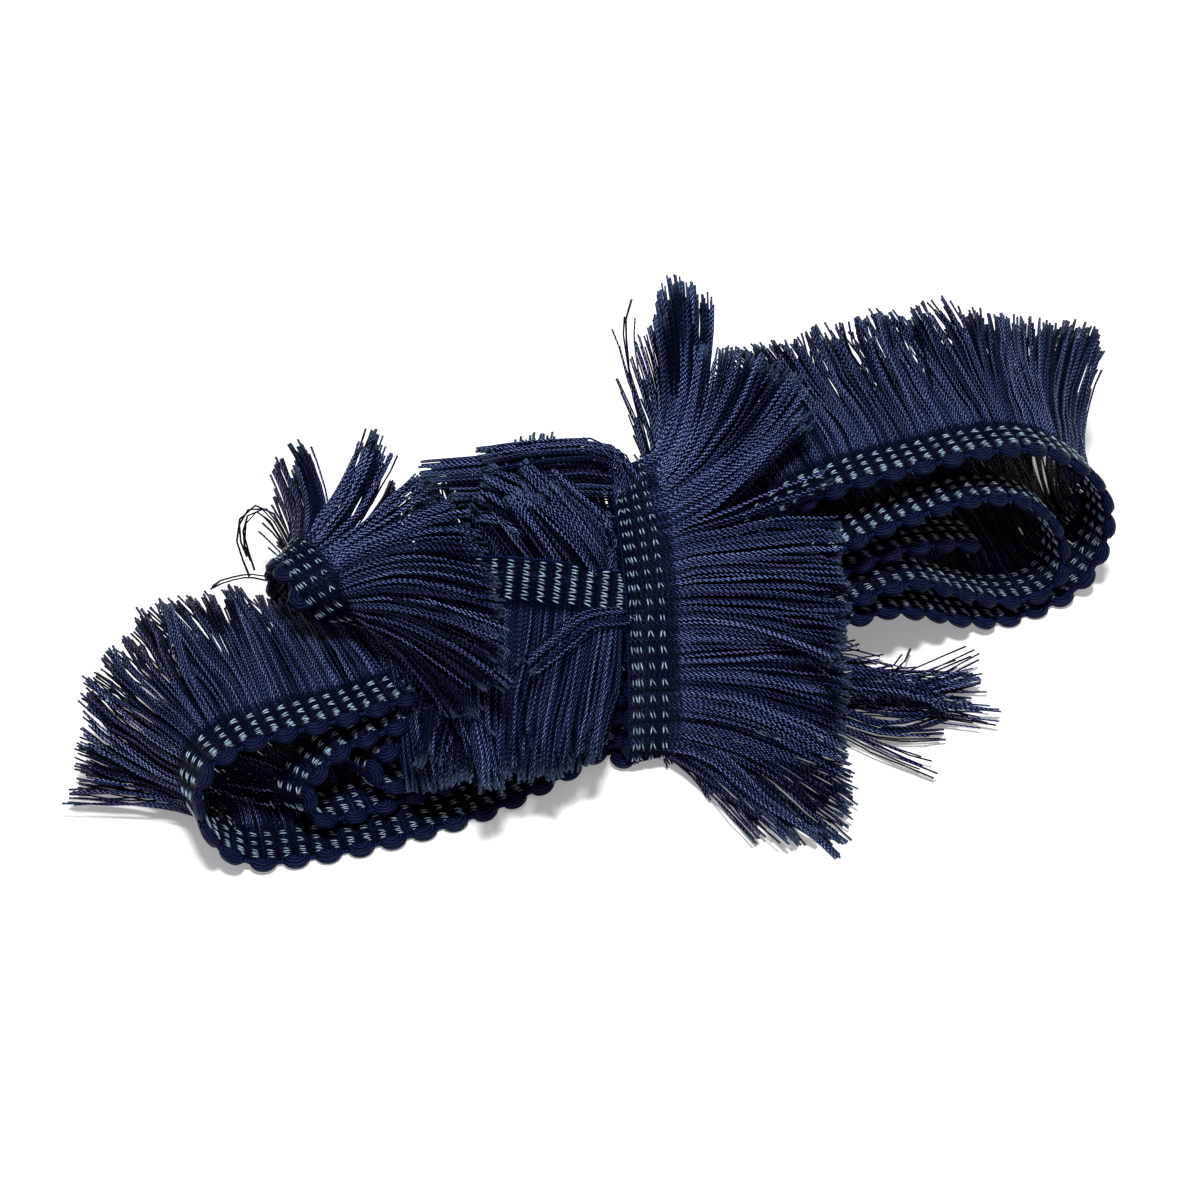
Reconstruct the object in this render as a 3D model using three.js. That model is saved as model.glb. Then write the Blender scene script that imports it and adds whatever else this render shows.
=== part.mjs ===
// A length of brush fringe trim, wound as a flat hank and bound round the waist with its own tail.
// Millimetres, +Z up, +X along the hank, the floor is Z = 0.
// The origin is on the floor, under the middle of the binding where it passes beneath the waist.
// The tape is a woven heading with a looped selvedge on one side and cut fringe on the other.
import * as THREE from "three";

// Heading: one cloth ribbon, its selvedge scalloped by the turns of the weft yarn.
const HEADING_HALF = 5.5; // middle line to the fringe edge, and to the crown of a loop
const HEADING_THICK = 2.2;
const PICK = 3.5; // one weft bundle along the tape
const LOOP_ROOT = 2.9; // middle line to where the loops begin
const LOOP_VALLEY = 4.0; // middle line to the valley between two loops
// Fringe: locks that share a narrow strip, parted from the heading's edge.
const PART_GAP = 0.45;
const STRIP_WIDE = 1.3;
const STRIP_THICK = 1.7;
const FRINGE = 43; // length of a full lock beyond its strip
const LOCK_PITCH = 2 * PICK;
const LOCK_SHARE = 0.78; // of the pitch that a lock's root takes up
const BENT_PITCH = { binder_turn: 4.5, fold: 4.5, tail_bend: 9 }; // where the edge itself is bent
// Sections of a lock: share of its length, half width, half thickness.
const LOCK_SECTIONS = [
  { at: 0.4, wide: 2.5, thick: 0.8 },
  { at: 0.75, wide: 2.4, thick: 0.7 },
  { at: 1.0, wide: 1.8, thick: 0.45 },
];
const BOW = 0.42; // share of a lock's length over which it still leaves along the heading
const FLOOR = 0.02; // least height of a lock that lies on the floor
const BASE = new THREE.Vector3(16.9, 8, 0); // the frame's origin, in the route's own coordinates

// The route of the tape, in the order it was wound, one table for each stretch.
// Columns: x, y, z of the heading's middle line; turn and rise of the side the fringe leaves by, in
// degrees; fan, the bearing of a lock from root to tip; tip, the height of its end; long, of FRINGE.
const ROUTE = {
  core_low: [
    [84, 1, 19, 90, -4, 84, 17, 0.9],
    [74, 0.5, 23, 90, -4, 87, 19, 0.9],
    [62, 0.5, 25, 90, -4, 90, 21, 0.9],
    [48, 0, 23.3, 90, -3, 90, 22, 0.88],
    [33, -2.5, 18.7, 90, -2, 90, 20, 0.84],
    [18, -5, 13.3, 90, 0, 90, 16, 0.8],
    [0, -6, 12.4, 90, 0, 90, 14, 0.8],
    [-15, -6, 11, 90, 0, 90, 11, 0.8],
    [-26, -5.8, 9.9, 90, 0, 90, 9.8, 0.8],
    [-36, -5.4, 8.7, 90, 0, 90, 9, 0.8],
    [-46, -6, 7.8, 90, 0, 90, 8.7, 0.8],
    [-58, -7.4, 7.5, 98, 0, 98, 9.4, 0.8],
    [-66, -8.4, 8.8, 112, 2, 114, 9.2, 0.44],
  ],
  core_high: [
    [-68.5, -7.6, 11.4, 118, -1, 128, 13.8, 0.38],
    [-65, -5.4, 14.2, 110, -9, 110, 13, 0.55],
    [-52, -3.2, 16, 94, -6, 94, 11.3, 0.8],
    [-32, -2.7, 15.6, 90, -4, 90, 13, 0.8],
    [-15, -3, 15.3, 90, -2, 90, 16.5, 0.8],
  ],
  right_inner_high: [
    [0, -3.5, 15.4, 90, -1, 90, 19, 0.8],
    [18, -2.5, 16.4, 90, -2, 90, 22, 0.76],
    [34, -1, 26, 90, -5, 90, 29, 0.92],
    [50, 0, 31.8, 90, -6, 90, 33, 1],
    [66, 0, 34.4, 90, -7, 88, 35, 1],
    [80, -0.5, 35, 90, -7, 85, 35, 1],
    [92, -1, 31.3, 90, -6, 77, 32, 1],
    [100, -2, 24, 90, -4, 71, 25, 1],
  ],
  right_inner_low: [
    [103.8, -3.5, 14.5, 90, -2, 69, 16.5, 1],
    [102.5, -5, 7.8, 90, 0, 72, 10.5, 1],
    [97, -6, 4.8, 90, 0, 83.5, 4.6, 1],
    [87, -6, 6.5, 90, 0, 89, 6.5, 1],
    [76, -6, 12.8, 90, 0, 90, 10, 0.95],
    [65, -5.5, 19.5, 90, 0, 90, 15, 0.9],
    [57, -5.5, 20.7, 90, 0, 90, 16.5, 0.9],
    [45, -6, 19, 90, 0, 90, 17, 0.86],
    [32, -7, 15.3, 90, 0, 90, 14, 0.82],
    [18, -7.3, 10.3, 90, 0, 90, 11, 0.8],
  ],
  left_inner_low: [
    [0, -7.5, 9.4, 90, 0, 90, 9.5, 0.8],
    [-15, -8, 8, 90, 0, 90, 7.8, 0.8],
    [-26, -8.3, 6.9, 90, 1, 90, 6.9, 0.8],
    [-36, -8.5, 5.6, 90, 3, 90, 6.5, 0.8],
    [-46, -8.7, 4.6, 90, 2, 90, 6.2, 0.82],
    [-60, -9.2, 4.3, 92, 0, 95, 6.2, 0.84],
    [-73, -9.6, 4.4, 102, 0, 108, 5.6, 0.8],
    [-81, -9.8, 6.2, 112, 0, 136, 7.8, 0.36],
  ],
  left_inner_high: [
    [-84, -8.8, 9.6, 118, -3, 146, 11.4, 0.36],
    [-82, -6.4, 13.8, 114, -9, 124, 13, 0.55],
    [-74, -3.6, 17.6, 102, -8, 104, 14.4, 0.8],
    [-60, -2.2, 19.2, 92, -5, 92, 14, 0.8],
    [-46, -1.2, 19.3, 90, -5, 90, 14.2, 0.8],
    [-30, -0.7, 18.8, 90, -4, 90, 17, 0.8],
    [-15, -0.3, 18.3, 90, -2, 90, 21, 0.8],
  ],
  right_outer_high: [
    [0, 0, 18.3, 90, 0, 90, 24, 0.64],
    [18, 1.6, 19.2, 90, -2, 90, 26, 0.6],
    [27, 5, 28, 90, -4, 90, 32, 0.62],
    [36, 8, 37.4, 90, -6, 92, 40.5, 0.82],
    [50, 7, 42.6, 90, -7, 92, 46, 0.95],
    [68, 5, 44.2, 90, -7, 90, 50, 0.94],
    [84, 4, 44.2, 90, -7, 86, 48.5, 0.88],
    [97, 3, 41.6, 90, -6, 78, 47.5, 0.86],
    [108, 1.5, 34.6, 90, -5, 66, 39.5, 0.88],
  ],
  right_outer_low: [
    [115, 0, 25.5, 90, -3, 62, 31, 0.9],
    [116.5, -1.5, 16, 90, -2, 62, 18, 0.88],
    [113.3, -3.5, 7.5, 90, 0, 76, 7, 1],
    [106.5, -5.5, 2.3, 90, 0, 80, 2, 1],
    [97, -6.8, 1.1, 90, 0, 84, 1.2, 1],
    [87, -7, 1.3, 90, 0, 87, 1.4, 1],
    [76, -7, 5.5, 90, 0, 90, 4.5, 0.95],
    [67, -6.8, 10.5, 90, 0, 90, 8.5, 0.92],
    [57, -6.6, 14.6, 90, 0, 90, 11.5, 0.9],
    [45, -6.8, 15.1, 90, 0, 90, 12.5, 0.86],
    [32, -7.5, 11.8, 90, 0, 90, 10.5, 0.82],
    [18, -8, 7.3, 90, 0, 90, 7, 0.8],
  ],
  left_outer_low: [
    [0, -9, 6.3, 90, 0, 90, 5, 0.8],
    [-15, -12.2, 4.4, 90, 0, 90, 4.8, 0.8],
    [-26, -14.4, 2.8, 90, 1, 90, 5, 0.8],
    [-36, -15.8, 1.7, 90, 1, 90, 4.6, 0.82],
    [-46, -16.8, 1.1, 90, 0, 90, 4.2, 0.8],
    [-60, -17.2, 1.1, 90, 0, 92, 3.4, 0.82],
    [-76, -16, 1.1, 90, 0, 98, 2, 0.95],
    [-88, -14, 1.1, 90, 0, 108, 1.2, 0.95],
    [-96.5, -12.2, 2, 90, 0, 124, 1.2, 0.86],
    [-102.5, -10, 6, 90, 0, 130, 2, 0.8],
  ],
  left_outer_high: [
    [-105.8, -7.6, 12.5, 90, -1, 132, 5, 0.72],
    [-105.5, -4.5, 19, 90, -3, 123, 15.4, 0.76],
    [-101.5, -2, 23.6, 90, -5, 109, 22, 0.82],
    [-94, -0.8, 25.2, 90, -6, 100, 27, 0.92],
    [-84, -0.6, 25.2, 90, -6, 92, 25, 0.86],
    [-73, -0.4, 24.4, 90, -6, 90, 17.5, 0.76],
    [-60, 0.2, 23.8, 90, -7, 90, 20, 0.82],
    [-46, 1.4, 23.2, 90, -6, 84, 32, 0.94],
    [-30, 3, 22.3, 90, -4, 84, 41, 1],
    [-15, 4.5, 21.5, 90, -2, 84, 42, 1],
  ],
  binder_turn: [
    [-3, 5, 21.3, 90, 0, 91, 42, 0.86],
    [4.6, 2.4, 21.8, 52, 0, 90, 23, 0.1],
    [8.6, -4.5, 21.7, 12, 0, -30, 22.5, 0.04],
  ],
  binder_front: [
    [10.4, -9.2, 20.2, 5, 0, -30, 22, 0.1],
    [12.4, -13, 16.8, 1, 0, -30, 20, 0.36],
    [14, -15.6, 13.2, -3, 0, -27, 10, 0.68],
    [15.2, -17.4, 9.4, -6, 0, -20, 3.4, 1],
    [16, -18, 5.4, -8, 0, -14, 1, 1.15],
  ],
  binder_under: [
    [16.4, -16.4, 2.2, -8, 0, -24, 1, 1.12],
    [16.6, -12, 1.1, -8, 0, -11, 1, 1.12],
    [16.8, 0, 1.1, -6, 0, -4, 1, 0.6],
    [17, 16, 1.1, -5, 0, 2, 1, 0.58],
    [17.2, 32, 1.1, -6, 0, 12, 1, 0.58],
    [17.4, 39.5, 1.8, -7, 0, 36, 1, 0.58],
    [17.4, 43.4, 6, -9, 0, 60, 5, 0.5],
    [16.6, 44.6, 14, -10, 0, 74, 17, 0.45],
  ],
  wrap_back: [
    [15.4, 43.8, 23, -11, 4, 76, 46, 0.7],
    [13.4, 41.4, 31, -12, 14, 68, 64, 0.95],
    [11.2, 36, 35.2, -14, 20, 44, 60, 1.02],
    [8.2, 27, 36.8, -15, 16, 37, 51.5, 0.92],
  ],
  wrap_top: [
    [5.4, 17, 36.4, -16, 12, 15, 50, 0.92],
    [2.6, 8, 34.5, -16, 12, -33, 38, 0.85],
    [-0.4, -1, 30.9, -16, 8, -28, 31, 0.87],
  ],
  wrap_front: [
    [-3.2, -8, 26.2, -17, 2, -29, 26, 0.87],
    [-5.4, -14, 20.1, -17, 0, -32, 17.6, 0.88],
    [-7.2, -18.5, 12.6, -16, 0, -40, 8, 0.9],
    [-8.2, -20.5, 6.5, -14, 0, -64, 2, 0.96],
  ],
  under: [
    [-8.6, -19, 2.3, -6, 0, -70, 1.5, 0.04],
    [-9.6, -13.5, 1.1, 14, 0, 20, 1, 0.03],
    [-14, -5, 1.1, 34, 0, 60, 1, 0.12],
    [-22, 4.6, 1.1, 44, 0, 76, 1, 0.6],
    [-37, 20, 1.1, 45, 0, 80, 1, 0.7],
    [-52, 35, 1.1, 46, 0, 78, 1, 0.7],
    [-60.5, 42, 1.8, 46, 0, 76, 1, 0.7],
    [-65.8, 46, 6, 45, 0, 80, 6, 0.6],
    [-68, 47, 14, 44, 3, 100, 25, 0.66],
    [-68.6, 45.8, 24, 40, 6, 94, 31, 0.62],
  ],
  fold: [
    [-68.8, 42.4, 32, 32, 9, 85, 34.5, 0.6],
    [-68.7, 37, 36.6, 20, 8, 56, 46, 0.66],
    [-68.3, 31, 37.5, 8, 6, 31, 42.5, 0.62],
    [-67.5, 26, 36, -6, 24, -4, 40, 0.8],
    [-65.6, 22.9, 32.3, -34, 36, -34, 37, 0.84],
    [-61.9, 22.4, 28.8, -62, 27, -67, 29.5, 0.86],
  ],
  tail_bend: [
    [-57, 23.6, 27.3, -73, 6, -80, 27, 0.2],
    [-50, 25.2, 27.9, -88, 2, -92, 27.6, 0.25],
  ],
  tail: [
    [-41.5, 23, 30.2, -104, 0, -106, 27.5, 0.36],
    [-36.5, 20.4, 32.4, -110, -9, -110, 21.5, 0.92],
    [-32, 18, 33.6, -114, -20, -112, 18.5, 0.94],
    [-17.5, 11, 33, -115, -26, -114, 13, 0.88],
    [-5, 5.2, 30.8, -114, -14, -114, 13, 0.8],
    [1.5, 2.3, 29.4, -113, -4, -114, 12, 0.78],
  ],
};
const COLUMNS = ["x", "y", "z", "turn", "rise", "fan", "tip", "long"];

const rad = THREE.MathUtils.degToRad;
const compass = (turn, rise) =>
  new THREE.Vector3(
    Math.cos(rad(turn)) * Math.cos(rad(rise)),
    Math.sin(rad(turn)) * Math.cos(rad(rise)),
    Math.sin(rad(rise)),
  );

const rows = Object.values(ROUTE)
  .flat()
  .map((r) => Object.fromEntries(COLUMNS.map((c, i) => [c, r[i]])));
const line = new THREE.CatmullRomCurve3(
  rows.map((r) => new THREE.Vector3(r.x, r.y, r.z)),
);
line.arcLengthDivisions = 4000;
const LENGTH = line.getLength();

// Everything known at a distance along the tape: middle, travel, side, face, and the row's fringe values.
function station(distance) {
  const t = line.getUtoTmapping(0, THREE.MathUtils.clamp(distance, 0, LENGTH));
  const place = t * (rows.length - 1);
  const i = Math.min(Math.floor(place), rows.length - 2);
  const share = place - i;
  const [a, b] = [rows[i], rows[i + 1]];
  const mix = (column) => THREE.MathUtils.lerp(a[column], b[column], share);
  const travel = line.getTangent(t);
  const side = compass(a.turn, a.rise).lerp(compass(b.turn, b.rise), share);
  side.addScaledVector(travel, -side.dot(travel)).normalize();
  const face = travel.clone().cross(side);
  const bearing = compass(a.fan, 0).lerp(compass(b.fan, 0), share).normalize();
  return {
    middle: line.getPoint(t),
    travel,
    side,
    face,
    bearing,
    tip: mix("tip"),
    long: mix("long"),
  };
}
const across = (s, w, n) =>
  s.middle.clone().addScaledVector(s.side, w).addScaledVector(s.face, n);

const CLOTH = new THREE.MeshStandardMaterial({ color: 0x39466b, roughness: 0.75, metalness: 0 });
const YARN = new THREE.MeshStandardMaterial({ color: 0x333c5c, roughness: 0.85, metalness: 0 });

function meshOf(name, material, points, triangles) {
  const geometry = new THREE.BufferGeometry();
  const flat = points.flatMap((p) => [p.x, p.y, Math.max(p.z, 0)]);
  geometry.setAttribute("position", new THREE.Float32BufferAttribute(flat, 3));
  geometry.setIndex(triangles.flat());
  const mesh = new THREE.Mesh(geometry, material);
  mesh.name = name;
  return mesh;
}

// Rings of equal size joined into one closed body: sides, then a fan over each end.
function sweep(name, rings) {
  const sides = rings[0].length;
  const triangles = [];
  rings.slice(1).forEach((_, r) => {
    for (let k = 0; k < sides; k++) {
      const [a, b] = [r * sides + k, r * sides + ((k + 1) % sides)];
      triangles.push([a, a + sides, b], [b, a + sides, b + sides]);
    }
  });
  const last = (rings.length - 1) * sides;
  for (let k = 1; k < sides - 1; k++)
    triangles.push([0, k, k + 1], [last, last + k + 1, last + k]);
  return meshOf(name, CLOTH, rings.flat(), triangles);
}

// One ring for each pick: every other one reaches out to a loop's crown.
function heading() {
  const picks = Math.round(LENGTH / PICK);
  const half = HEADING_THICK / 2;
  const rings = [];
  for (let i = 0; i <= picks; i++) {
    const s = station((i * LENGTH) / picks);
    const crown = i % 2 ? HEADING_HALF : LOOP_VALLEY;
    rings.push([
      across(s, HEADING_HALF, -half),
      across(s, -LOOP_ROOT, -half),
      across(s, -crown, 0),
      across(s, -LOOP_ROOT, half),
      across(s, HEADING_HALF, half),
    ]);
  }
  return sweep("heading", rings);
}

// The middle line of a lock: it leaves along the heading, then bows to its tip.
function lockLine(s, root) {
  const length = FRINGE * s.long;
  const drop = THREE.MathUtils.clamp(s.tip - root.z, -0.95 * length, 0.95 * length);
  const reach = Math.sqrt(length * length - drop * drop);
  const tip = root.clone().addScaledVector(s.bearing, reach);
  tip.z = root.z + drop;
  const along = Math.max(0, tip.clone().sub(root).normalize().dot(s.side));
  const bow = root.clone().addScaledVector(s.side, BOW * length * (0.3 + 0.7 * along));
  return new THREE.QuadraticBezierCurve3(root, bow, tip);
}

// The strip runs along the heading's edge; over each lock's root its outer face is drawn out into the lock.
function fringe(name, from, to) {
  const locks = Math.max(1, Math.floor((to - from) / (BENT_PITCH[name] ?? LOCK_PITCH)));
  const pitch = (to - from) / locks;
  const inner = HEADING_HALF + PART_GAP;
  const outer = inner + STRIP_WIDE;
  const half = STRIP_THICK / 2;
  const points = [];
  const triangles = [];
  const add = (p) => points.push(p) - 1;
  const quad = (a, b, c, d) => triangles.push([a, b, c], [a, c, d]);
  const ring = (distance) => {
    const s = station(distance);
    return [
      add(across(s, inner, half)),
      add(across(s, outer, half)),
      add(across(s, outer, -half)),
      add(across(s, inner, -half)),
    ];
  };
  let before = null;
  for (let i = 0; i < locks; i++) {
    const middle = from + (i + 0.5) * pitch;
    const reach = (LOCK_SHARE * pitch) / 2;
    const a = ring(middle - reach);
    const b = ring(middle + reach);
    if (before) {
      for (let k = 0; k < 4; k++) quad(before[k], a[k], a[(k + 1) % 4], before[(k + 1) % 4]);
    } else quad(a[0], a[1], a[2], a[3]);
    for (const k of [0, 2, 3]) quad(a[k], b[k], b[(k + 1) % 4], a[(k + 1) % 4]);
    const s = station(middle);
    const curve = lockLine(s, across(s, outer, 0));
    let mouth = [a[1], b[1], b[2], a[2]];
    for (const cut of LOCK_SECTIONS) {
      const centre = curve.getPoint(cut.at);
      const along = curve.getTangent(cut.at);
      const wide = s.travel.clone().addScaledVector(along, -s.travel.dot(along)).normalize();
      const deep = wide.clone().cross(along).normalize();
      centre.z = Math.max(centre.z, FLOOR + cut.thick * Math.abs(deep.z) + cut.wide * Math.abs(wide.z));
      const half_wide = cut.wide * Math.min(1, pitch / LOCK_PITCH);
      const corner = (w, d) =>
        add(centre.clone().addScaledVector(wide, w * half_wide).addScaledVector(deep, d * cut.thick));
      const next = [corner(-1, 1), corner(1, 1), corner(1, -1), corner(-1, -1)];
      for (let k = 0; k < 4; k++) quad(mouth[k], mouth[(k + 1) % 4], next[(k + 1) % 4], next[k]);
      mouth = next;
    }
    quad(mouth[0], mouth[1], mouth[2], mouth[3]);
    before = b;
  }
  quad(before[3], before[2], before[1], before[0]);
  return meshOf("fringe_" + name, YARN, points, triangles);
}

const part = new THREE.Group();
part.position.copy(BASE).negate();
part.add(heading());
const starts = [];
let row = 0;
for (const stretch of Object.values(ROUTE)) {
  starts.push(row);
  row += stretch.length;
}
const distanceOf = (index) => {
  const share = index / (rows.length - 1);
  const lengths = line.getLengths();
  const place = share * (lengths.length - 1);
  const i = Math.min(Math.floor(place), lengths.length - 2);
  return THREE.MathUtils.lerp(lengths[i], lengths[i + 1], place - i);
};
const STRETCH_GAP = 1; // bare edge between two strips
const FREE_END = 3; // and at the tape's inner end
const TUCKED = 8.5; // and where its outer end is tucked under the wrap
Object.keys(ROUTE).forEach((name, i, all) => {
  const from = distanceOf(starts[i]) + (i ? STRETCH_GAP : FREE_END);
  const to = i + 1 < all.length ? distanceOf(starts[i + 1]) : LENGTH - TUCKED;
  part.add(fringe(name, from, to));
});

export default part;
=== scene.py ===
"""Brush fringe trim: a woven tape with looped selvedge and cut fringe, wound as a hank."""
import math
from types import SimpleNamespace

import bpy
import numpy as np
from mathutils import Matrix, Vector


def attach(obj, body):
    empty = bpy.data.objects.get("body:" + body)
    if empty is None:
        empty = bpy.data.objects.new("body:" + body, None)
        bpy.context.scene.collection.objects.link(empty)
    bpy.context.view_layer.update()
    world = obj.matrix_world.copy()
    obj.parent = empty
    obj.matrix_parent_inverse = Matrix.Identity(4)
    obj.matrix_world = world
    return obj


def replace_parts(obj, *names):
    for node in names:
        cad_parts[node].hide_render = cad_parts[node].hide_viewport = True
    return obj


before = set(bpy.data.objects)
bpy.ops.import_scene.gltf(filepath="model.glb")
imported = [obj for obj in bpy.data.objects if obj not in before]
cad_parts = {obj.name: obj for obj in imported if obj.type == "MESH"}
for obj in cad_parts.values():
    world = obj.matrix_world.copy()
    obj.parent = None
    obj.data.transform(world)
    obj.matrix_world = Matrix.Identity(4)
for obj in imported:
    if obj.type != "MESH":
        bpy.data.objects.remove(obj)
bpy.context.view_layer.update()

# Sizes of the trim in millimetres
MM = 0.001
HEADING_HALF = 5.5  # middle line to the fringe edge, and to the crown of a loop
PICK = 3.5  # one weft bundle along the tape
PART_GAP = 0.45  # heading's edge to the strip that holds the fringe
STRIP_WIDE = 1.3
FRINGE = 43.0  # a full yarn beyond the strip
BOW = 0.42  # share of a yarn's length over which it still leaves along the heading
BOW_LEAST, BOW_GAIN = 0.3, 0.7  # parts of that for a yarn that turns away, and for one that goes on
FREE_END = 3.0  # bare edge at the tape's inner end
TUCKED = 4.5  # and where its outer end is tucked under the wrap
BASE = np.array([16.9, 8.0, 0.0])  # the frame's origin, in the route's own coordinates

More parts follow.
